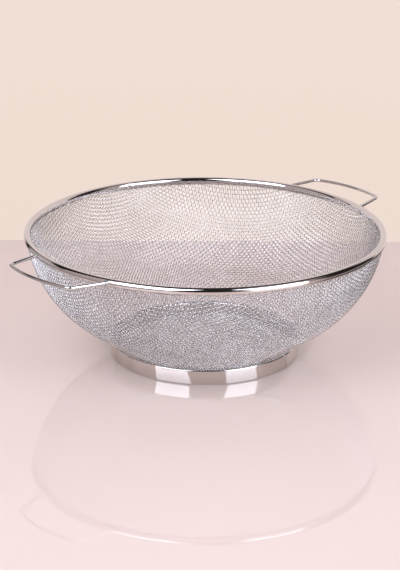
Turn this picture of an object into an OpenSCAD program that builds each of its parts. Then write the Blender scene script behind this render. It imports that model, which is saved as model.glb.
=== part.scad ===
// Mesh strainer: a woven wire bowl with its edge hemmed over a wire hoop and
// clamped in a rolled rim. It stands on a foot ring and has two wire handles
// welded to the rim. The fine weave is drawn as a coarse grid of openings.
// Millimetres, +Z up. The origin lies on the table under the middle of the
// foot ring, and the handles point along -X and +X.

/* [Rim] */
// Outer diameter over the rim
rim_od = 280; // [250:1:320]
// Height of the rim's top above the table
rim_top = 100.8; // [94:0.1:112]
// Thickness of the rolled rim, seen in section
bead_d = 5.6; // [5.2:0.1:7.5]
// Thickness of the rim's sheet
rim_sheet = 0.5; // [0.4:0.05:0.7]
// Drop of the rim's straight inner skirt below its round
rim_skirt = 0.5; // [0.2:0.1:2]
// Width of the weld that closes the rim's sheet
rim_seam_w = 0.8; // [0.4:0.1:2]
// Direction of the rim's seam from +X, in degrees
rim_seam_az = 75; // [40:1:140]

/* [Mesh] */
// Diameter of the woven wire
mesh_wire_d = 0.55; // [0.4:0.01:0.62]
// Spacing of the wires in the flat cloth
mesh_pitch = 2.12; // [1.8:0.02:3]
// Radius of the bowl's side, seen in section
wall_r = 92.5; // [84:0.5:100]
// Slope of the bowl's lower side from level, in degrees
cone_angle = 35.5; // [33:0.5:38]
// Clear height under the middle of the mesh
mesh_clear = 4; // [3:0.1:5]
// Radius of the shallow dish in the bottom, seen in section
dish_r = 900; // [700:10:2000]
// Radius of the bend between the side and the bottom, seen in section
knuckle_r = 15; // [8:0.5:18]
// Direction in which the hem round the hoop ends, in degrees
hem_end = -35; // [-45:1:60]

/* [Mesh openings] */
// Number of openings round one row of the bowl's side
side_openings = 24; // [16:1:24]
// Number of rows of openings up the bowl's side
side_rows = 4; // [2:1:5]
// Number of rings of openings in the bowl's bottom, round the middle one
bottom_rings = 3; // [1:1:4]

/* [Foot ring] */
// Outer diameter of the foot ring
ring_od = 150; // [135:1:165]
// Height of the foot ring
ring_h = 12; // [11:0.1:14]
// Thickness of the foot ring's sheet
ring_sheet = 0.6; // [0.5:0.05:0.8]
// Outer radius of the bend at the ring's top
ring_bend_r = 1.2; // [1:0.05:1.6]
// Width of the sloping flange that carries the mesh
flange_w = 3.6; // [2.6:0.1:4]
// Outer radius of the bend at the ring's foot
hem_bend_r = 1; // [0.9:0.05:1.5]
// Width of the flat that rests on the table
hem_w = 2.5; // [1.5:0.1:4]
// Width of the weld that closes the ring
ring_seam_w = 0.5; // [0.3:0.1:1.5]
// Direction of the ring's seam from +X, in degrees
ring_seam_az = -77; // [-120:1:-40]
// Lean of the ring's seam from upright, in degrees
ring_seam_lean = 20; // [0:1:30]

/* [Spot welds] */
// Number of spot welds between the foot ring and the mesh
spot_count = 24; // [8:1:36]
// Length of one spot weld round the ring
spot_l = 2.4; // [1:0.1:4]
// Width of one spot weld up the slope
spot_w = 1.6; // [0.8:0.1:2]
// Thickness of a spot weld, which parts the mesh from its flange
spot_t = 0.25; // [0.15:0.05:0.5]

/* [Handles] */
// Diameter of the handle wire
handle_wire_d = 2.6; // [2:0.1:4]
// Distance between a handle's legs at the rim's middle line
leg_span = 81.4; // [72:0.2:96]
// Distance between a handle's corners
corner_span = 68.2; // [60:0.2:76]
// Reach of the bar's middle line past the rim
handle_reach = 27.5; // [22:0.5:40]
// Bow of the bar between its corners
bar_bow = 5.4; // [3:0.1:9]
// Radius of the handle's bends, on the wire's middle line
handle_bend_r = 5; // [3:0.5:8]
// Rise of the bar above the rim's middle line
handle_rise = 1.5; // [0:0.1:4]
// Leg of the weld round the end of the handle wire
weld_leg = 0.9; // [0.5:0.1:1.4]

/* [Fits] */
// Gap round the hemmed mesh inside the rim
fit_gap = 0.05; // [0.02:0.01:0.1]
// Gap on each side of the mesh where it enters the rim
slot_gap = 0.35; // [0.2:0.05:0.5]

/* [Hidden] */

$fn = 180;

steel = "silver";
mesh_grey = "lightgray";
weld_grey = "darkgray";

// The cloth is two wires thick where they cross
cloth_t = 2 * mesh_wire_d;

// Rim section: its middle, and the hoop that is left when the hemmed cloth
// and its gaps are taken out of the rolled sheet
bead_r = bead_d / 2;
bead_mid = [rim_od / 2 - bead_r, rim_top - bead_r];
hoop_r = bead_r - rim_sheet - cloth_t - 2 * fit_gap;
wrap_r = hoop_r + fit_gap + cloth_t / 2;

// The cloth leaves the rim straight down, through the slot
slot_pt = bead_mid - [0, bead_r];
slot_to_wrap = acos(wrap_r / bead_r);
wrap_start = 270 - slot_to_wrap;

// Foot ring section: the middles of its two bends
ring_r = ring_od / 2;
top_bend_mid = [ring_r - ring_bend_r, ring_h - ring_bend_r];
foot_bend_mid = [ring_r - hem_bend_r, hem_bend_r];

// Bowl section. The lower side is a straight slope that lies spot_t above the
// flange. The two shifts are distances along it from seat_pt, to where the
// curved wall starts and to where the knuckle ends.
slope = dir(cone_angle);
slope_in = dir(cone_angle + 90);
seat_pt = top_bend_mid + slope_in * (ring_bend_r + spot_t + cloth_t / 2);

wall_shift = near_along(seat_pt + slope_in * wall_r - slot_pt, slope, wall_r);
wall_foot = seat_pt + slope * wall_shift;
wall_mid = wall_foot + slope_in * wall_r;
wall_a0 = atan2(slot_pt[1] - wall_mid[1], slot_pt[0] - wall_mid[0]);

dish_mid = [0, mesh_clear + cloth_t / 2 + dish_r];
knuckle_shift = near_along(seat_pt + slope_in * knuckle_r - dish_mid, slope, dish_r - knuckle_r);
knuckle_top = seat_pt + slope * knuckle_shift;
knuckle_mid = knuckle_top + slope_in * knuckle_r;
dish_a = asin(knuckle_mid[0] / (dish_r - knuckle_r));

// The weave is drawn as a coarse grid, whose openings take the same share of
// their pitch as the cloth's do. The side's rows run from the foot ring's flange
// to the rim, and the bottom's rings from the middle to the flange.
open_share = 1 - mesh_wire_d / mesh_pitch;
side_length = wall_shift + wall_r * (wall_a0 + 90 - cone_angle) * PI / 180;
row_pitch = side_length / side_rows;
bottom_pitch = (seat_pt[0] - slope[0] * flange_w) / (bottom_rings + 0.5);
cut_reach = 2 * cloth_t;

// The slot in the rim. Outside, the round ends at the angle slot_outer in the
// rim's section. Inside, it ends at skirt_a and the sheet runs straight on, as
// a skirt whose end lies slot_gap from the mesh.
lip_r = bead_r - rim_sheet;
slot_outer = -90 + asin((cloth_t / 2 + slot_gap) / lip_r);
sheet_mid_r = bead_r - rim_sheet / 2;
skirt_foot_r = wall_r - cloth_t / 2 - slot_gap - rim_sheet / 2;
skirt_foot = wall_mid + skirt_foot_r * dir(wall_a0 - rim_skirt / wall_r * 180 / PI);
skirt_to = skirt_foot - bead_mid;
skirt_a = atan2(skirt_to[1], skirt_to[0]) - acos(sheet_mid_r / norm(skirt_to));
skirt_run = sqrt(skirt_to * skirt_to - pow(sheet_mid_r, 2)) * dir(skirt_a + 90);

// Handle, drawn flat with u away from the bowl and v along the rim
leg_u = sqrt(pow(bead_mid[0], 2) - pow(leg_span / 2, 2));
leg_pt = [leg_u, leg_span / 2];
bar_u = rim_od / 2 + handle_reach;
corner_pt = [bar_u - bar_bow, corner_span / 2];
bar_r = (pow(corner_pt[1], 2) + pow(bar_bow, 2)) / (2 * bar_bow);
bar_mid = [bar_u - bar_r, 0];
leg_a = atan2(corner_pt[1] - leg_pt[1], corner_pt[0] - leg_pt[0]);
leg_dir = dir(leg_a);
leg_side = dir(leg_a - 90);
bend_from = leg_pt + leg_side * handle_bend_r - bar_mid;
bend_shift = far_along(bend_from, leg_dir, bar_r - handle_bend_r);
bend_mid = bar_mid + bend_from + leg_dir * bend_shift;
bar_a = atan2(bend_mid[1] - bar_mid[1], bend_mid[0] - bar_mid[0]);
handle_tilt = asin(handle_rise / (bar_u - leg_u));
bend_start = bend_mid - leg_side * handle_bend_r;
bend_end = bar_mid + bar_r * dir(bar_a);

// A ball hardly larger than the wire fuses each bend to its neighbours
wire_r = handle_wire_d / 2;
ball_over = 0.03;
ball_r = wire_r + ball_over;

// The legs meet the outside of the rim here, measured along the leg, and the
// weld's cone starts sunk inside the rim's round
rim_touch = far_along(leg_pt, leg_dir, rim_od / 2);
weld_sink = 1.5;
weld_tip = 0.1;
weld_rise = 1.4;

// Finest step round the rim where handles and welds are cut to its shape
rim_fine = 1440;
rim_near_a = 30;

// Longest step along a drawn arc, in degrees and in millimetres
arc_deg = 6;
arc_mm = 8;

// Depth of the plates that cut the seams, more than any section is wide
seam_depth = 30;

// Unit vector at an angle
function dir(a) = [cos(a), sin(a)];

// The two distances t along d at which v + d * t has length r
function far_along(v, d, r) = -(v * d) + sqrt(pow(v * d, 2) - v * v + r * r);
function near_along(v, d, r) = -(v * d) - sqrt(pow(v * d, 2) - v * v + r * r);

// Points along an arc, without the last few if so asked
function arc_pts(mid, r, from, to, drop = 0) =
    let (turn = abs(to - from), n = ceil(max(turn / arc_deg, turn * PI / 180 * r / arc_mm)))
    [for (i = [0:n - drop]) mid + r * dir(from + (to - from) * i / n)];

function backwards(list) = [for (i = [len(list) - 1:-1:0]) list[i]];

// One face of the cloth, from the middle of the dish to the end of its hem.
// It lies h towards the inside of the bowl from the cloth's middle.
function cloth_side(h) = concat(
    arc_pts(dish_mid, dish_r - h, -90, -90 + dish_a, 1),
    arc_pts(knuckle_mid, knuckle_r - h, -90 + dish_a, -90 + cone_angle),
    arc_pts(wall_mid, wall_r - h, -90 + cone_angle, wall_a0),
    arc_pts(bead_mid, wrap_r + h, wrap_start, hem_end)
);

module cloth_section() {
    polygon(concat(cloth_side(cloth_t / 2), backwards(cloth_side(-cloth_t / 2))));
}

// Slope of the bowl's side, and a point on its middle line, at a distance s up
// from the flange
function side_angle(s) = cone_angle + max(0, s - wall_shift) / wall_r * 180 / PI;
function side_pt(s) = s < wall_shift ? seat_pt + slope * s : wall_mid + wall_r * dir(side_angle(s) - 90);

// Line across the cloth at a distance s up the side, from outside to inside
function side_cut(s) = [for (k = [-1, 1]) side_pt(s) + k * cut_reach * dir(side_angle(s) + 90)];

// Openings evenly round the bowl, each a short sweep of one section
module openings_round(count, corners) {
    sweep = open_share * 360 / count;
    for (i = [0:count - 1])
        rotate([0, 0, i * 360 / count - sweep / 2])
            rotate_extrude(angle = sweep) polygon(corners);
}

module side_grid() {
    for (i = [0:side_rows - 1]) {
        low = side_cut((i + (1 - open_share) / 2) * row_pitch);
        high = side_cut((i + (1 + open_share) / 2) * row_pitch);
        openings_round(side_openings, concat(low, backwards(high)));
    }
}

// A six-sided opening in the middle, and six more openings in each next ring
module bottom_grid() {
    half = open_share * bottom_pitch / 2;
    cylinder(r = half, h = ring_h, $fn = 6);
    for (i = [1:bottom_rings]) {
        near = i * bottom_pitch - half;
        far = i * bottom_pitch + half;
        openings_round(6 * i, [[near, 0], [far, 0], [far, ring_h], [near, ring_h]]);
    }
}

// One face of the rolled sheet, from the slot's outer side over the top of the
// rim to the end of the skirt. Its arcs meet at the widest points of the round.
function sheath_side(r) = concat(
    arc_pts(bead_mid, r, slot_outer, 0, 1),
    arc_pts(bead_mid, r, 0, 180, 1),
    arc_pts(bead_mid, r, 180, 360 + skirt_a),
    [bead_mid + r * dir(skirt_a) + skirt_run]
);

module sheath_section() {
    polygon(concat(sheath_side(bead_r), backwards(sheath_side(lip_r))));
}

// One face of the foot ring's sheet, from its flat foot to its flange. It lies
// h towards the inside of the ring from the sheet's middle.
function ring_side(h) = concat(
    [[foot_bend_mid[0] - hem_w, ring_sheet / 2 + h]],
    arc_pts(foot_bend_mid, hem_bend_r - ring_sheet / 2 - h, -90, 0),
    arc_pts(top_bend_mid, ring_bend_r - ring_sheet / 2 - h, 0, 90 + cone_angle),
    [top_bend_mid + slope_in * (ring_bend_r - ring_sheet / 2 - h) - slope * flange_w]
);

module ring_section() {
    polygon(concat(ring_side(-ring_sheet / 2), backwards(ring_side(ring_sheet / 2))));
}

// Plate across a rolled sheet at one side, which cuts its seam
module seam_plate(r, mid_h, w, az, lean) {
    rotate([0, 0, az])
        translate([r, 0, mid_h])
            rotate([lean, 0, 0])
                cube([seam_depth, w, seam_depth], center = true);
}

module rim_seam_plate() {
    seam_plate(bead_mid[0], bead_mid[1], rim_seam_w, rim_seam_az, 0);
}

module ring_seam_plate() {
    seam_plate(ring_r, ring_h / 2, ring_seam_w, ring_seam_az, ring_seam_lean);
}

// Full round of the rim beside one handle, which its wire is cut to
module rim_round(side) {
    rotate([0, 0, (side > 0 ? 0 : 180) - rim_near_a])
        rotate_extrude(angle = 2 * rim_near_a, $fn = rim_fine)
            translate(bead_mid) circle(bead_r);
}

// Frame of one handle: level with the rim's middle, tilted about its leg ends
module on_rim(side) {
    rotate([0, 0, side > 0 ? 0 : 180])
        translate([leg_u, 0, bead_mid[1]])
            rotate([0, -handle_tilt, 0])
                translate([-leg_u, 0, 0]) children();
}

// Round bar along a leg, from one distance along it to another
module leg_rod(r0, r1, from, to) {
    translate(leg_pt)
        rotate([0, 90, leg_a])
            translate([0, 0, from]) cylinder(r1 = r0, r2 = r1, h = to - from);
}

// One bent handle wire, whose legs run in to the middle of the rim
module handle_wire() {
    for (s = [0, 1]) mirror([0, s, 0]) {
        leg_rod(wire_r, wire_r, 0, norm(bend_start - leg_pt));
        translate(bend_start) sphere(ball_r);
        translate(bend_mid)
            rotate([0, 0, bar_a])
                rotate_extrude(angle = leg_a + 90 - bar_a)
                    translate([handle_bend_r, 0]) circle(wire_r);
        translate(bend_end) sphere(ball_r);
    }
    translate(bar_mid)
        rotate([0, 0, -bar_a])
            rotate_extrude(angle = 2 * bar_a)
                translate([bar_r, 0]) circle(wire_r);
}

module handle(side) {
    difference() {
        on_rim(side) handle_wire();
        rim_round(side);
    }
}

// Cones of weld round both ends of one handle wire, where it meets the rim
module handle_welds(side) {
    from = rim_touch - weld_sink;
    to = rim_touch + weld_rise;
    difference() {
        on_rim(side)
            for (s = [0, 1]) mirror([0, s, 0])
                difference() {
                    leg_rod(wire_r + weld_leg, wire_r + weld_tip, from, to);
                    leg_rod(wire_r, wire_r, from - weld_sink, to + weld_sink);
                }
        rim_round(side);
    }
}

module mesh_bowl() {
    color(mesh_grey)
        difference() {
            rotate_extrude() cloth_section();
            side_grid();
            bottom_grid();
        }
}

module rim_sheath() {
    color(steel)
        difference() {
            rotate_extrude() sheath_section();
            rim_seam_plate();
        }
}

module rim_core_hoop() {
    color(steel) rotate_extrude() translate(bead_mid) circle(hoop_r);
}

module rim_seam_weld() {
    color(weld_grey)
        intersection() {
            rotate_extrude() sheath_section();
            rim_seam_plate();
        }
}

module foot_ring() {
    color(steel)
        difference() {
            rotate_extrude() ring_section();
            ring_seam_plate();
        }
}

module foot_ring_seam_weld() {
    color(weld_grey)
        intersection() {
            rotate_extrude() ring_section();
            ring_seam_plate();
        }
}

// Nuggets that fill the gap between the flange and the mesh
module foot_ring_spot_welds() {
    sweep = spot_l / top_bend_mid[0] * 180 / PI;
    low = top_bend_mid + slope_in * ring_bend_r - slope * (flange_w + spot_w) / 2;
    color(weld_grey)
        for (i = [0:spot_count - 1])
            rotate([0, 0, (i + 0.5) * 360 / spot_count - sweep / 2])
                rotate_extrude(angle = sweep)
                    polygon([
                        low, low + slope * spot_w,
                        low + slope * spot_w + slope_in * spot_t, low + slope_in * spot_t
                    ]);
}

module handle_left() {
    color(steel) handle(-1);
}

module handle_right() {
    color(steel) handle(1);
}

module handle_left_welds() {
    color(weld_grey) handle_welds(-1);
}

module handle_right_welds() {
    color(weld_grey) handle_welds(1);
}

mesh_bowl();
rim_sheath();
rim_core_hoop();
rim_seam_weld();
foot_ring();
foot_ring_seam_weld();
foot_ring_spot_welds();
handle_left();
handle_right();
handle_left_welds();
handle_right_welds();
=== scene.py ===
# Looks of a woven wire mesh strainer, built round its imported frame.
# Sizes are in millimetres until a mesh is made, and angles are in degrees.

import math

import bpy
import numpy as np
from mathutils import Matrix, Vector


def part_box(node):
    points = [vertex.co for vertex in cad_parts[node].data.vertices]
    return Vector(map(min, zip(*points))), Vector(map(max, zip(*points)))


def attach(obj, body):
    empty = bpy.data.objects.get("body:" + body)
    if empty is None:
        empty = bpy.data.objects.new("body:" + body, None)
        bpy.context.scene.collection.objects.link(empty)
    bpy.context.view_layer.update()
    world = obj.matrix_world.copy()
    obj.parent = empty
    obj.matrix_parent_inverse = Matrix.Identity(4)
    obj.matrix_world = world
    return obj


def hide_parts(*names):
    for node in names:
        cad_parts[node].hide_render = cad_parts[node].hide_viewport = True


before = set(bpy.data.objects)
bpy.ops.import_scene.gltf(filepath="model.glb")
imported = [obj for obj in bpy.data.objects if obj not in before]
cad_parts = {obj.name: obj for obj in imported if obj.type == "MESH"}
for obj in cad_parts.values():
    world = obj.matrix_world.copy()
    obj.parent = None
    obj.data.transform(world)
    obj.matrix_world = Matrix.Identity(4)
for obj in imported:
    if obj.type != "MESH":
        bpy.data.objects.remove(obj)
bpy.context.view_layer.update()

mm = 0.001

for oldName in ("Cube", "Light", "Camera"):
    if oldName in bpy.data.objects:
        bpy.data.objects.remove(bpy.data.objects[oldName], do_unlink=True)

print("frame loaded:", len(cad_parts), "nodes")


# Arrays and meshes

def unit(angle):
    # (cos, sin) of an angle in degrees, for a number or an array
    return np.stack([np.cos(np.radians(angle)), np.sin(np.radians(angle))], -1)


def angleOf(vector):
    return math.degrees(math.atan2(vector[1], vector[0]))


def arcPoints(middle, radius, start, end, count):
    # points at even angles on a circle: middle + radius * (cos a, sin a)
    return np.asarray(middle) + radius * unit(np.linspace(start, end, count))


def normalised(vectors):
    return vectors / np.linalg.norm(vectors, axis=-1, keepdims=True)


def addMesh(name, points, quads, uv=None):
    # one smooth mesh object from a point array in mm and a quad array
    mesh = bpy.data.meshes.new(name)
    points = np.asarray(points, np.float32).reshape(-1, 3) * mm
    quads = np.asarray(quads, np.int32).reshape(-1, 4)
    mesh.vertices.add(len(points))
    mesh.vertices.foreach_set("co", points.ravel())
    mesh.loops.add(quads.size)
    mesh.loops.foreach_set("vertex_index", quads.ravel())
    mesh.polygons.add(len(quads))
    mesh.polygons.foreach_set("loop_start", np.arange(0, quads.size, 4, dtype=np.int32))
    mesh.polygons.foreach_set("use_smooth", np.ones(len(quads), bool))
    if uv is not None:
        layer = mesh.uv_layers.new(name="UVMap")
        layer.data.foreach_set("uv", np.asarray(uv, np.float32).reshape(-1, 2)[quads.ravel()].ravel())
    mesh.update(calc_edges=True)
    mesh.validate()
    piece = bpy.data.objects.new(name, mesh)
    bpy.context.collection.objects.link(piece)
    return piece


def gridQuads(rows, columns, wrapRows=False, wrapColumns=False):
    # quads of a rows by columns grid, which face out where row x column is the outward normal
    r = np.arange(rows if wrapRows else rows - 1)
    c = np.arange(columns if wrapColumns else columns - 1)
    r, c = (a.ravel() for a in np.meshgrid(r, c, indexing="ij"))
    r1, c1 = (r + 1) % rows, (c + 1) % columns
    return np.stack([r * columns + c, r1 * columns + c, r1 * columns + c1, r * columns + c1], -1)


def capQuads(ring, flip):
    # a flat ring of even count closed with quads that share its first corner
    k = np.arange(0, len(ring) - 2, 2)
    quads = np.stack([np.full(len(k), ring[0]), ring[k + 1], ring[k + 2], ring[(k + 3) % len(ring)]], -1)
    return quads[:, ::-1] if flip else quads


def tube(centres, radius, sides, up=(0.0, 0.0, 1.0)):
    # a round tube: circles square to a path, centre + radius * (cos a * N + sin a * B),
    # where N is near up and B is path direction x N
    centres = np.asarray(centres, float)
    along = normalised(np.gradient(centres, axis=0))
    across = normalised(np.cross(along, np.asarray(up, float)))
    normal = np.cross(across, along)
    a = np.linspace(0, 2 * np.pi, sides, endpoint=False)
    radius = np.broadcast_to(np.asarray(radius, float), len(centres))[:, None, None]
    ring = normal[:, None] * np.cos(a)[:, None] + across[:, None] * np.sin(a)[:, None]
    points = centres[:, None] + radius * ring
    quads = gridQuads(sides, len(centres), wrapRows=True)
    number = np.arange(len(centres) * sides).reshape(len(centres), sides)
    quads = number.T.ravel()[quads]
    caps = [capQuads(number[0], True), capQuads(number[-1], False)]
    return points.reshape(-1, 3), np.concatenate([quads] + caps)


def carryRound(profile, startAngle, endAngle, count, lean=None):
    # a closed profile of (radius, height) carried round the Z axis and capped at both ends:
    # x = r cos a, y = r sin a, z = h, where a may lean by height
    full = abs(endAngle - startAngle) > 359.9
    t = np.linspace(0, 1, count, endpoint=not full)
    angle = np.radians(startAngle + (endAngle - startAngle) * t)[None, :]
    if lean is not None:
        angle = angle + lean(profile[:, 1])[:, None]
    r, h = profile[:, 0][:, None], profile[:, 1][:, None]
    points = np.stack([r * np.cos(angle), r * np.sin(angle), h + 0 * angle], -1)
    rows = len(profile)
    quads = gridQuads(rows, count, wrapRows=True, wrapColumns=full)[:, ::-1]
    if not full:
        number = np.arange(rows * count).reshape(rows, count)
        quads = np.concatenate([quads, capQuads(number[:, 0], False), capQuads(number[:, -1], True)])
    return points.reshape(-1, 3), quads


def finishPiece(piece, slot, material, *nodes):
    piece.data.materials.append(material)
    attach(piece, "root")
    if nodes:
        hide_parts(*nodes)
    return piece


# Materials

def newMaterial(name):
    material = bpy.data.materials.new(name)
    material.use_nodes = True
    nodes, links = material.node_tree.nodes, material.node_tree.links
    return material, nodes, links, nodes["Principled BSDF"]


def noiseOn(nodes, links, source, scale, detail=2.0, stretch=(1.0, 1.0, 1.0)):
    # noise on object coordinates, which are in metres, stretched along the axes given
    mapping = nodes.new("ShaderNodeMapping")
    mapping.inputs["Scale"].default_value = stretch
    noise = nodes.new("ShaderNodeTexNoise")
    noise.inputs["Scale"].default_value = scale
    noise.inputs["Detail"].default_value = detail
    links.new(source, mapping.inputs["Vector"])
    links.new(mapping.outputs["Vector"], noise.inputs["Vector"])
    return noise.outputs["Fac"]


def spread(nodes, links, source, low, high, fromLow=0.3, fromHigh=0.7):
    # a noise value carried to the range low to high
    ranged = nodes.new("ShaderNodeMapRange")
    ranged.inputs["From Min"].default_value = fromLow
    ranged.inputs["From Max"].default_value = fromHigh
    ranged.inputs["To Min"].default_value = low
    ranged.inputs["To Max"].default_value = high
    links.new(source, ranged.inputs["Value"])
    return ranged.outputs["Result"]


def shades(nodes, links, source, colours):
    # a noise value as a ramp of colours, evenly placed
    ramp = nodes.new("ShaderNodeValToRGB")
    stops = ramp.color_ramp.elements
    while len(stops) < len(colours):
        stops.new(0.5)
    for k, colour in enumerate(colours):
        stops[k].position = 0.3 + 0.4 * k / (len(colours) - 1)
        stops[k].color = (*colour, 1.0)
    links.new(source, ramp.inputs["Fac"])
    return ramp.outputs["Color"]


def combine(nodes, links, operation, first, second):
    # two values joined by a Math operation
    math2 = nodes.new("ShaderNodeMath")
    math2.operation = operation
    links.new(first, math2.inputs[0])
    links.new(second, math2.inputs[1])
    return math2.outputs["Value"]


def dotWith(nodes, links, source, direction):
    # how far a vector reaches along a fixed direction
    dot = nodes.new("ShaderNodeVectorMath")
    dot.operation = "DOT_PRODUCT"
    dot.inputs[1].default_value = direction
    links.new(source, dot.inputs[0])
    return dot.outputs["Value"]


def blendColours(nodes, links, share, first, second):
    # first colour where the share is 0, second where it is 1; either may be an output
    mix = nodes.new("ShaderNodeMix")
    mix.data_type = "RGBA"
    links.new(share, mix.inputs["Factor"])
    for socket, colour in (("A", first), ("B", second)):
        if isinstance(colour, tuple):
            mix.inputs[socket].default_value = (*colour, 1.0)
        else:
            links.new(colour, mix.inputs[socket])
    return mix.outputs["Result"]


def bumpFrom(nodes, links, source, strength, distance):
    bump = nodes.new("ShaderNodeBump")
    bump.inputs["Strength"].default_value = strength
    bump.inputs["Distance"].default_value = distance
    links.new(source, bump.inputs["Height"])
    return bump.outputs["Normal"]


def steelMaterial(name, look):
    # bright steel: tone and roughness drift slowly, and fine marks run round the part
    material, nodes, links, shader = newMaterial(name)
    place = nodes.new("ShaderNodeTexCoord").outputs["Object"]
    drift = noiseOn(nodes, links, place, look["driftScale"])
    grain = noiseOn(nodes, links, place, look["grainScale"], 4.0, look["grainStretch"])
    shader.inputs["Metallic"].default_value = 1.0
    links.new(shades(nodes, links, drift, look["tones"]), shader.inputs["Base Color"])
    links.new(spread(nodes, links, grain, *look["roughness"]), shader.inputs["Roughness"])
    links.new(bumpFrom(nodes, links, grain, look["bump"], look["bumpDepth"] * mm), shader.inputs["Normal"])
    return material


polishedLook = dict(tones=[(0.70, 0.655, 0.625), (0.74, 0.70, 0.67)], driftScale=40.0, grainScale=300.0,
                    grainStretch=(1.0, 1.0, 12.0), roughness=(0.04, 0.08), bump=0.04, bumpDepth=0.02)
wireLook = dict(tones=[(0.62, 0.60, 0.585), (0.70, 0.68, 0.665)], driftScale=60.0, grainScale=900.0,
                grainStretch=(1.0, 1.0, 1.0), roughness=(0.05, 0.11), bump=0.04, bumpDepth=0.02)
clothLook = dict(tones=[(0.62, 0.605, 0.595), (0.72, 0.70, 0.69)], driftScale=90.0, grainScale=700.0,
                 grainStretch=(1.0, 1.0, 1.0), roughness=(0.18, 0.26), bump=0.05, bumpDepth=0.02)
weldLook = dict(tones=[(0.46, 0.45, 0.45), (0.64, 0.62, 0.60)], driftScale=500.0, grainScale=1500.0,
                grainStretch=(1.0, 1.0, 1.0), roughness=(0.28, 0.46), bump=0.5, bumpDepth=0.08)

polishedSteel = steelMaterial("polishedSteel", polishedLook)
plainWire = steelMaterial("plainWire", wireLook)
clothWire = steelMaterial("clothWire", clothLook)
weldSteel = steelMaterial("weldSteel", weldLook)

print("materials made")


# Sections of the bowl, its rim and its foot ring

rim = dict(bead=5.6, sheet=0.5, skirt=0.5, slotGap=0.35, seamAngle=75.0, seamWidth=0.8,
           lipRound=4, roundSteps=44, skirtSteps=6, steps=720)
bowl = dict(wire=0.55, wallRadius=92.5, slope=35.5, clear=4.0, dishRadius=900.0, kneeRadius=15.0)
foot = dict(height=12.0, sheet=0.6, topBend=1.2, flange=3.6, footBend=1.0, flat=2.5, weldThick=0.25,
            seamAngle=-77.0, seamWidth=0.5, seamLean=20.0, steps=720)

rimLow, rimHigh = (np.array(corner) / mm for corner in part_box("rim_sheath"))
footLow, footHigh = (np.array(corner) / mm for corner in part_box("foot_ring"))
rimRadius = (rimHigh[0] - rimLow[0]) / 2
footRadius = (footHigh[0] - footLow[0]) / 2
beadMiddle = np.array([rimRadius - rim["bead"] / 2, rimHigh[2] - rim["bead"] / 2])


def nearCrossing(start, direction, radius):
    # the nearer distance t at which start + t * direction has the length radius
    p = start @ direction
    return -p - math.sqrt(p * p - start @ start + radius * radius)


def wallArc():
    # middle, start and end angle of the cloth's wall, which rises from the foot ring's slope to the rim
    slope, inward = unit(bowl["slope"]), unit(bowl["slope"] + 90)
    topBend = np.array([footRadius, foot["height"]]) - foot["topBend"]
    seat = topBend + inward * (foot["topBend"] + foot["weldThick"] + bowl["wire"])
    slot = beadMiddle - [0, rim["bead"] / 2]
    start = seat + inward * bowl["wallRadius"]
    middle = start + slope * nearCrossing(start - slot, slope, bowl["wallRadius"])
    return middle, bowl["slope"] - 90, angleOf(slot - middle), seat


def bowlSection():
    # the middle line of the cloth: a shallow dish, a knee, a straight slope and a wall arc
    # that ends upright under the rim
    slope, inward = unit(bowl["slope"]), unit(bowl["slope"] + 90)
    wallMiddle, wallStart, wallEnd, seat = wallArc()
    dishMiddle = np.array([0, bowl["clear"] + bowl["wire"] + bowl["dishRadius"]])
    kneeFrom = seat + inward * bowl["kneeRadius"]
    kneeReach = bowl["dishRadius"] - bowl["kneeRadius"]
    kneeMiddle = kneeFrom + slope * nearCrossing(kneeFrom - dishMiddle, slope, kneeReach)
    dishEnd = angleOf(kneeMiddle - dishMiddle)
    return np.concatenate([
        arcPoints(dishMiddle, bowl["dishRadius"], -90, dishEnd, 200),
        arcPoints(kneeMiddle, bowl["kneeRadius"], dishEnd, wallStart, 60)[1:],
        arcPoints(wallMiddle, bowl["wallRadius"], wallStart, wallEnd, 400),
    ])


section = bowlSection()
lipReach = 1.6  # how far the cloth's wires run on inside the rim
section = np.concatenate([section, section[-1:] + np.array([[-0.35, 0.94]]) * lipReach])
sectionLength = np.concatenate([[0], np.cumsum(np.linalg.norm(np.diff(section, axis=0), axis=1))])
sectionSlope = normalised(np.gradient(section, axis=0))
clothReach = sectionLength[-1]

print("bowl section:", round(clothReach, 1), "mm from its middle to its edge")


# Woven wire cloth

weave = dict(
    pitch=2.125,       # spacing of the wires in the flat cloth, 12 to the inch
    turn=35.9,         # direction of one set of wires' normal from +X
    reach=180.0,       # arc length that the draw's two shares below are given at
    draw=-0.084,       # share by which the drawn wall spreads the wires up the bowl
    skew=-0.044,       # share that goes with the direction, four times round
    sides=6,
    bands=5,           # pieces that each set of wires is kept in
)


def clothCoordinates(a, b):
    # where a point of the bowl lay in the flat cloth, in pitches: with t2 = a a + b b,
    # u = scale * (a (1 + draw t2) + skew t2 (a a a - 3 a b b)), and v alike
    scale = weave["reach"] / weave["pitch"]
    t2 = a * a + b * b
    u = scale * (a * (1 + weave["draw"] * t2) + weave["skew"] * t2 * (a * a * a - 3 * a * b * b))
    v = scale * (b * (1 + weave["draw"] * t2) - weave["skew"] * t2 * (3 * a * a * b - b * b * b))
    return u, v


def bowlCoordinates(u, v):
    # the inverse of clothCoordinates, by repeated correction
    scale = weave["reach"] / weave["pitch"]
    a, b = u / scale, v / scale
    for _ in range(40):
        nowU, nowV = clothCoordinates(a, b)
        a, b = a + (u - nowU) / scale, b + (v - nowV) / scale
    return a, b


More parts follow.
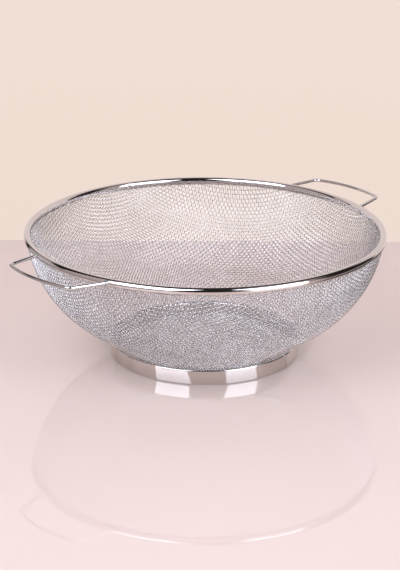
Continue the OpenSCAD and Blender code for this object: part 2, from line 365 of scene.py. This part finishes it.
def onBowl(a, b):
    # a point on the bowl's middle surface and the normal there: the arc length from the
    # middle of the bowl is reach * hypot(a, b), and the direction is turn + atan2(b, a)
    s = weave["reach"] * np.hypot(a, b)
    angle = np.arctan2(b, a) + math.radians(weave["turn"])
    r, h = (np.interp(s, sectionLength, section[:, k]) for k in (0, 1))
    dr, dh = (np.interp(s, sectionLength, sectionSlope[:, k]) for k in (0, 1))
    cos, sin = np.cos(angle), np.sin(angle)
    point = np.stack([r * cos, r * sin, h], -1)
    normal = normalised(np.stack([-dh * cos, -dh * sin, dr], -1))
    return point, normal, s


def wireEnds(count):
    # how far each wire runs from its middle before the arc length passes the cloth's edge
    low, high = np.zeros(count), np.full(count, 100.0)
    for _ in range(40):
        half = (low + high) / 2
        a, b = bowlCoordinates(np.arange(count) + 0.5, half)
        inside = np.hypot(a, b) * weave["reach"] < clothReach
        low, high = np.where(inside, half, low), np.where(inside, high, half)
    return low


def clothWires(name, setNumber):
    # wires at u = k + 1/2 that rise and fall by half a wire at each crossing:
    # height = wire / 2 * sin(pi v) * (-1)^k, and the other set does the opposite;
    # three rings a pitch, v = (2 j + 1) / 6, so that one lies on each crossing
    ends = wireEnds(100)
    half = int((ends > 1.0).sum())
    k = np.arange(-half, half)
    reach = ends[np.where(k >= 0, k, -k - 1)]
    j = np.arange(-3 * int(ends.max()) - 6, 3 * int(ends.max()) + 6)
    place = (2 * j[None, :] + 1) / 6
    v = np.clip(place, -reach[:, None], reach[:, None])
    used = np.abs(place) < reach[:, None] + 1 / 3
    u = np.broadcast_to((k + 0.5)[:, None], v.shape)
    a, b = bowlCoordinates(u, v)
    if setNumber == 1:
        a, b = b, a
    point, normal, s = onBowl(a, b)
    sign = np.where(k % 2 == 0, 1.0, -1.0)[:, None] * (1 if setNumber == 0 else -1)
    centre = point + normal * (bowl["wire"] / 2 * np.sin(np.pi * v) * sign)[..., None]
    ahead, behind = np.roll(centre, -1, axis=1), np.roll(centre, 1, axis=1)
    lastUsed = used & ~np.roll(used, -1, axis=1)
    firstUsed = used & ~np.roll(used, 1, axis=1)
    ahead = np.where(lastUsed[..., None], centre, ahead)
    behind = np.where(firstUsed[..., None], centre, behind)
    along = normalised(np.where(used[..., None], ahead - behind, (1.0, 0.0, 0.0)))
    across = normalised(np.cross(along, normal))
    upward = np.cross(across, along)
    turn = np.linspace(0, 2 * np.pi, weave["sides"], endpoint=False)
    ring = upward[:, :, None] * np.cos(turn)[:, None] + across[:, :, None] * np.sin(turn)[:, None]
    rings = centre[:, :, None] + bowl["wire"] / 2 * ring
    pieces = []
    edges = np.linspace(0, len(k), weave["bands"] + 1).astype(int)
    for band in range(weave["bands"]):
        part = slice(edges[band], edges[band + 1])
        usedPart = used[part]
        number = np.full(usedPart.shape, -1)
        number[usedPart] = np.arange(usedPart.sum())
        joined = usedPart[:, :-1] & usedPart[:, 1:]
        here, there = number[:, :-1][joined], number[:, 1:][joined]
        side = np.arange(weave["sides"])
        nextSide = (side + 1) % weave["sides"]
        corner = [here[:, None] * weave["sides"] + side, here[:, None] * weave["sides"] + nextSide,
                  there[:, None] * weave["sides"] + nextSide, there[:, None] * weave["sides"] + side]
        quads = [np.stack(corner, -1).reshape(-1, 4)]
        for ends, order in ((firstUsed[part], [0, 5, 4, 3, 2, 1]), (lastUsed[part], [0, 1, 2, 3, 4, 5])):
            first = number[ends][:, None] * weave["sides"] + np.array(order)
            quads += [first[:, [0, 1, 2, 3]], first[:, [0, 3, 4, 5]]]
        piece = addMesh(f"{name}{band + 1}", rings[part][usedPart], np.concatenate(quads))
        pieces.append(finishPiece(piece, "mesh_wire", clothWire, "mesh_bowl"))
    return pieces


warpPieces = clothWires("clothWarp", 0)
weftPieces = clothWires("clothWeft", 1)

print("cloth woven:", sum(len(p.data.polygons) for p in warpPieces + weftPieces), "quads")


# Rim

def roundedLip(outer, inner, count):
    # the rounded edge of a sheet: a half circle from one face's end to the other's
    middle, half = (outer + inner) / 2, (outer - inner) / 2
    side = np.array([half[1], -half[0]])
    a = np.linspace(0, np.pi, count + 2)[1:-1]
    return middle + half * np.cos(a)[:, None] + side * np.sin(a)[:, None]


def rimSection():
    # a round tube of sheet, open below, whose inner side runs straight on along a tangent
    # as a skirt that ends just short of the cloth
    outside, inside = rim["bead"] / 2, rim["bead"] / 2 - rim["sheet"]
    middle = (outside + inside) / 2
    outerLip = -90 + math.degrees(math.asin((bowl["wire"] + rim["slotGap"]) / inside))
    wallMiddle, _, wallEnd, _ = wallArc()
    footReach = bowl["wallRadius"] - bowl["wire"] - rim["slotGap"] - rim["sheet"] / 2
    foot = wallMiddle + footReach * unit(wallEnd - math.degrees(rim["skirt"] / bowl["wallRadius"])) - beadMiddle
    distance = math.hypot(*foot)
    leave = 360 + angleOf(foot) - math.degrees(math.acos(middle / distance))
    run = math.sqrt(distance ** 2 - middle ** 2) * unit(leave + 90)

    def face(radius):
        bend = arcPoints(beadMiddle, radius, outerLip, leave, rim["roundSteps"])
        return np.concatenate([bend, bend[-1] + run * np.linspace(0, 1, rim["skirtSteps"])[1:, None]])

    outerFace, innerFace = face(outside), face(inside)[::-1]
    return np.concatenate([outerFace, roundedLip(outerFace[-1], innerFace[0], rim["lipRound"]),
                           innerFace, roundedLip(innerFace[-1], outerFace[0], rim["lipRound"])])


halfSeam = math.degrees(rim["seamWidth"] / 2 / beadMiddle[0])
rimSheath = addMesh("rimSheath", *carryRound(
    rimSection(), rim["seamAngle"] + halfSeam, rim["seamAngle"] + 360 - halfSeam, rim["steps"]))
finishPiece(rimSheath, "polished_steel", polishedSteel, "rim_sheath")

print("rim made")


# Foot ring

def footSection():
    # one face of the sheet from its flat foot to its flange, then the other face back
    topMiddle = np.array([footRadius, foot["height"]]) - foot["topBend"]
    lowMiddle = np.array([footRadius - foot["footBend"], foot["footBend"]])
    slope, inward = unit(bowl["slope"]), unit(bowl["slope"] + 90)

    def face(shift):
        flatEnd = np.array([[lowMiddle[0] - foot["flat"], shift]])
        low = arcPoints(lowMiddle, foot["footBend"] - shift, -90, 0, 10)
        top = arcPoints(topMiddle, foot["topBend"] - shift, 0, 90 + bowl["slope"], 16)
        flangeEnd = [topMiddle + inward * (foot["topBend"] - shift) - slope * foot["flange"]]
        return np.concatenate([flatEnd, low, top, flangeEnd])

    outerFace, innerFace = face(0.0), face(foot["sheet"])[::-1]
    return np.concatenate([outerFace, roundedLip(outerFace[-1], innerFace[0], 4),
                           innerFace, roundedLip(innerFace[-1], outerFace[0], 4)])


def seamLean(height):
    # the slanted seam's turn at a height, in radians
    return -(height - foot["height"] / 2) * math.tan(math.radians(foot["seamLean"])) / footRadius


halfSeam = math.degrees(foot["seamWidth"] / 2 / footRadius)
footRing = addMesh("footRing", *carryRound(
    footSection(), foot["seamAngle"] + halfSeam, foot["seamAngle"] + 360 - halfSeam, foot["steps"], seamLean))
finishPiece(footRing, "polished_steel", polishedSteel, "foot_ring")

print("foot ring made")


# Handles

handle = dict(wire=2.6, legSpan=81.4, cornerSpan=68.2, reach=27.5, bow=5.4, bend=5.0, rise=1.5,
              sides=24, legSteps=24, bendSteps=14, barSteps=60, sink=0.35, weldLeg=0.9, weldRise=1.4)


def handlePath():
    # half of the handle, flat, with u away from the bowl and v along the rim:
    # a straight leg, a corner arc and half of a bowed bar, then mirrored
    leg = np.array([math.sqrt(beadMiddle[0] ** 2 - (handle["legSpan"] / 2) ** 2), handle["legSpan"] / 2])
    barU = rimRadius + handle["reach"]
    corner = np.array([barU - handle["bow"], handle["cornerSpan"] / 2])
    barRadius = (corner[1] ** 2 + handle["bow"] ** 2) / (2 * handle["bow"])
    barMiddle = np.array([barU - barRadius, 0.0])
    along = normalised(corner - leg)
    side = np.array([along[1], -along[0]])
    start = leg + side * handle["bend"] - barMiddle
    p, free = start @ along, barRadius - handle["bend"]
    bendMiddle = barMiddle + start + along * (-p + math.sqrt(p * p - start @ start + free * free))
    legAngle = math.degrees(math.atan2(along[1], along[0]))
    barAngle = math.degrees(math.atan2(bendMiddle[1] - barMiddle[1], bendMiddle[0] - barMiddle[0]))
    q = leg @ along
    touch = -q + math.sqrt(q * q - leg @ leg + rimRadius ** 2)
    legEnd = bendMiddle - side * handle["bend"]
    legStart = leg + along * (touch - handle["sink"])
    legLine = legStart + (legEnd - legStart) * np.linspace(0, 1, handle["legSteps"])[:, None]
    bendArc = arcPoints(bendMiddle, handle["bend"], legAngle + 90, barAngle, handle["bendSteps"])
    barArc = arcPoints(barMiddle, barRadius, barAngle, -barAngle, handle["barSteps"])
    half = np.concatenate([legLine, bendArc[1:]])
    other = half[::-1] * [1, -1]
    return np.concatenate([half, barArc[1:-1], other]), leg[0], barU, leg + along * touch, along


def onRim(flat, legU, barU, side):
    # flat handle points tilted about the leg ends, lifted to the rim and turned to one side
    tilt = math.asin(handle["rise"] / (barU - legU))
    u = legU + (flat[:, 0] - legU) * math.cos(tilt)
    z = beadMiddle[1] + (flat[:, 0] - legU) * math.sin(tilt)
    return np.stack([side * u, side * flat[:, 1], z], -1)


def makeHandle(name, side, *nodes):
    flat, legU, barU, touch, along = handlePath()
    path = onRim(flat, legU, barU, side)
    piece = addMesh(name, *tube(path, handle["wire"] / 2, handle["sides"]))
    return finishPiece(piece, "plain_wire", plainWire, *nodes)


makeHandle("handleLeft", -1, "handle_left")
makeHandle("handleRight", 1, "handle_right")

print("handles made")


# Pieces that keep their solid from the frame get their finish

keptNodes = {
    "rim_core_hoop": plainWire, "rim_seam_weld": polishedSteel, "foot_ring_seam_weld": weldSteel,
    "foot_ring_spot_welds": weldSteel, "handle_left_welds": weldSteel, "handle_right_welds": weldSteel,
}
for nodeName, material in keptNodes.items():
    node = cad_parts[nodeName]
    node.data.materials.clear()
    node.data.materials.append(material)

print("kept nodes finished")


# Stage, light and camera

stage = dict(
    place=(-841.894, -892.131, 498.668),   # the camera
    aim=(0.642953, 0.685562, -0.341493),
    up=(0.230166, 0.252310, 0.939874),
    lens=105.25,
    wallBehind=267.0,                       # from the middle of the bowl to the wall
    floorColour=(0.635, 0.525, 0.465),
    wallLow=(0.87, 0.72, 0.64),             # the wall above the table, and higher up
    wallHigh=(0.90, 0.76, 0.69),
    wallMirrored=(0.87, 0.775, 0.77),       # the wall's painted light over its lit part, as steel mirrors it
    wallFade=500.0,
    litFrom=(-360.0, -260.0),               # the lit part's left edge, right edge and top, as steel mirrors it
    litTo=(500.0, 620.0),
    litTop=(300.0, 460.0),
    darkFrom=(520.0, 650.0),                # where painted shade darkens the wall's right end as steel mirrors it, and where it darkens its top
    darkTop=(430.0, 520.0),
    darkStrip=(-440.0, -400.0, -350.0, -310.0),  # strip of painted shade beside the lit part, as steel mirrors it: its soft left and right edges
    shadeCards={"cardRight": ((170.0, 460.0, -160.0, 220.0), (0.13, 0.11, 0.11)),    # painted shade cards on the table, seen only by steel, with their
           "cardLeft": ((-900.0, -190.0, -500.0, 250.0), (0.38, 0.33, 0.34))},  # left, right, near and far edges
    roomPale=(0.53, 0.46, 0.47),
    roomDark=(0.02, 0.018, 0.02),
    boxColour=(0.80, 0.85, 0.985),
    boxStrength=5.3,
)

away = normalised(np.array([stage["aim"][0], stage["aim"][1], 0.0]))
rightward = np.array([away[1], -away[0], 0.0])


def addCamera():
    camera = bpy.data.cameras.new("camera")
    camera.lens = stage["lens"]
    camera.sensor_width = 36.0
    camera.clip_start, camera.clip_end = 0.05, 20.0
    seen = bpy.data.objects.new("camera", camera)
    forward, up = Vector(stage["aim"]).normalized(), Vector(stage["up"]).normalized()
    turned = Matrix((forward.cross(up), up, -forward)).transposed()
    seen.matrix_world = Matrix.Translation(Vector(stage["place"]) * mm) @ turned.to_4x4()
    bpy.context.collection.objects.link(seen)
    bpy.context.scene.camera = seen


def addPlane(name, corners, material):
    plane = addMesh(name, corners, [[0, 1, 2, 3]])
    plane.data.materials.append(material)
    return plane


def floorMaterial():
    # pale glossy table top
    material, nodes, links, shader = newMaterial("floorPale")
    place = nodes.new("ShaderNodeTexCoord").outputs["Object"]
    cloud = noiseOn(nodes, links, place, 3.0)
    base = np.array(stage["floorColour"])
    links.new(shades(nodes, links, cloud, [tuple(base * 0.985), tuple(base * 1.015)]), shader.inputs["Base Color"])
    shader.inputs["Roughness"].default_value = 0.015
    shader.inputs["IOR"].default_value = 1.5
    return material


def showFrontOnly(nodes, links, shown):
    # a stage surface that is clear from behind
    sides = nodes.new("ShaderNodeMixShader")
    links.new(nodes.new("ShaderNodeNewGeometry").outputs["Backfacing"], sides.inputs["Fac"])
    links.new(shown, sides.inputs[1])
    links.new(nodes.new("ShaderNodeBsdfTransparent").outputs["BSDF"], sides.inputs[2])
    links.new(sides.outputs["Shader"], nodes["Material Output"].inputs["Surface"])


def wallMaterial():
    # pale wall that shows only its front; the camera sees its own colour, and steel sees painted light over one part
    # and painted shade elsewhere
    material, nodes, links, shader = newMaterial("wallPale")
    shader.inputs["Base Color"].default_value = (*stage["wallLow"], 1.0)
    shader.inputs["Roughness"].default_value = 0.9
    shader.inputs["Specular IOR Level"].default_value = 0.0
    place = nodes.new("ShaderNodeTexCoord").outputs["Object"]
    height = dotWith(nodes, links, place, (0, 0, 1))
    across = dotWith(nodes, links, place, rightward)
    rise = spread(nodes, links, height, 0.0, 1.0, 0.0, stage["wallFade"] * mm)
    # painted light: the part of the wall that steel mirrors as lit
    lit = spread(nodes, links, across, 0.0, 1.0, *(edge * mm for edge in stage["litFrom"]))
    for value, (full, none) in ((across, stage["litTo"]), (height, stage["litTop"])):
        lit = combine(nodes, links, "MULTIPLY", lit, spread(nodes, links, value, 1.0, 0.0, full * mm, none * mm))
    pale = blendColours(nodes, links, rise, stage["wallLow"], stage["wallHigh"])
    # painted shade: the wall turns dark at its right end, at its top and in a strip on the left, only where steel
    # mirrors it
    end = spread(nodes, links, across, 0.0, 1.0, *(edge * mm for edge in stage["darkFrom"]))
    top = spread(nodes, links, height, 0.0, 1.0, *(edge * mm for edge in stage["darkTop"]))
    stripEdges = [edge * mm for edge in stage["darkStrip"]]
    strip = combine(nodes, links, "MULTIPLY", spread(nodes, links, across, 0.0, 1.0, *stripEdges[:2]),
                    spread(nodes, links, across, 1.0, 0.0, *stripEdges[2:]))
    for value in (top, strip):
        end = combine(nodes, links, "MAXIMUM", end, value)
    shade = blendColours(nodes, links, end, stage["roomPale"], stage["roomDark"])
    rays = nodes.new("ShaderNodeLightPath").outputs
    # painted light over the lit part and painted shade elsewhere, both seen only by steel
    mirrored = blendColours(nodes, links, lit, shade, stage["wallMirrored"])
    shown = nodes.new("ShaderNodeEmission")
    links.new(blendColours(nodes, links, rays["Is Camera Ray"], mirrored, pale), shown.inputs["Color"])
    seen = combine(nodes, links, "MAXIMUM", rays["Is Camera Ray"], rays["Is Glossy Ray"])
    seen = combine(nodes, links, "MAXIMUM", seen, rays["Is Transmission Ray"])
    front = nodes.new("ShaderNodeMixShader")
    links.new(seen, front.inputs["Fac"])
    links.new(shader.outputs["BSDF"], front.inputs[1])
    links.new(shown.outputs["Emission"], front.inputs[2])
    showFrontOnly(nodes, links, front.outputs["Shader"])
    return material


def shadeCardMaterial(name, colour):
    # matt card beside the bowl, painted shade which darkens only what the steel mirrors
    material, nodes, links, _ = newMaterial(name)
    shown = nodes.new("ShaderNodeEmission")
    shown.inputs["Color"].default_value = (*colour, 1.0)
    showFrontOnly(nodes, links, shown.outputs["Emission"])
    return material


def addStage():
    far, wide = 3000.0, 3000.0
    edge = away * stage["wallBehind"]
    corners = [edge * 0 - away * far - rightward * wide, edge * 0 - away * far + rightward * wide,
               edge + rightward * wide, edge - rightward * wide]
    addPlane("floor", corners, floorMaterial())
    up = np.array([0, 0, 2500.0])
    addPlane("wall", [edge - rightward * wide, edge + rightward * wide,
                      edge + rightward * wide + up, edge - rightward * wide + up], wallMaterial())
    lift = np.array([0, 0, 1.0])
    for name, ((left, right, near, deep), colour) in stage["shadeCards"].items():
        shadeCard = addPlane(name, [rightward * x + away * y + lift for x, y in
                               ((left, near), (right, near), (right, deep), (left, deep))], shadeCardMaterial(name, colour))
        # painted shade: the cards show only in steel's reflections, and cast no shadow and give no light
        shadeCard.visible_camera = shadeCard.visible_diffuse = shadeCard.visible_shadow = False


def towards(azimuth, elevation):
    # a direction from the bowl: azimuth runs to the right from the camera's side
    a, e = math.radians(azimuth), math.radians(elevation)
    return (rightward * math.sin(a) - away * math.cos(a)) * math.cos(e) + np.array([0, 0, math.sin(e)])


def addBox(name, azimuth, elevation, distance, width, height, strength):
    # a softbox that faces the bowl
    direction = towards(azimuth, elevation)
    light = bpy.data.lights.new(name, "AREA")
    light.shape = "RECTANGLE"
    light.color = stage["boxColour"]
    light.size, light.size_y = width * mm, height * mm
    light.energy = strength * math.pi * light.size * light.size_y
    lamp = bpy.data.objects.new(name, light)
    lamp.location = Vector(direction * distance * mm) + Vector((0, 0, 0.05))
    lamp.rotation_mode = "QUATERNION"
    lamp.rotation_quaternion = Vector(direction).to_track_quat("Z", "Y")
    bpy.context.collection.objects.link(lamp)


darkParts = [  # azimuth and elevation of each dark part of the room, and the angles that it is dark to and gone by
    (3, 32, 46, 58),
    (0, 90, 8, 20),
    (90, -6, 9, 18),
    (90, 12, 9, 18),
    (90, 28, 9, 18),
]


def addWorld():
    # a mid grey room that is dark overhead, behind the camera and on the right
    world = bpy.context.scene.world or bpy.data.worlds.new("studio")
    bpy.context.scene.world = world
    world.use_nodes = True
    nodes, links = world.node_tree.nodes, world.node_tree.links
    direction = nodes.new("ShaderNodeTexCoord").outputs["Generated"]
    dark = None
    for azimuth, elevation, inner, outer in darkParts:
        reach = dotWith(nodes, links, direction, towards(azimuth, elevation))
        near, far = math.cos(math.radians(inner)), math.cos(math.radians(outer))
        part = spread(nodes, links, reach, 0.0, 1.0, far, near)
        dark = part if dark is None else combine(nodes, links, "MAXIMUM", dark, part)
    tone = blendColours(nodes, links, dark, stage["roomPale"], stage["roomDark"])
    links.new(tone, nodes["Background"].inputs["Color"])


addCamera()
addStage()
addBox("boxLeft", -38.5, 39.5, 1500.0, 1100.0, 1400.0, stage["boxStrength"])
addBox("boxRight", 44.5, 27.0, 1500.0, 980.0, 1400.0, stage["boxStrength"])
addWorld()
bpy.context.scene.view_settings.view_transform = "Standard"

print("stage, light and camera set")
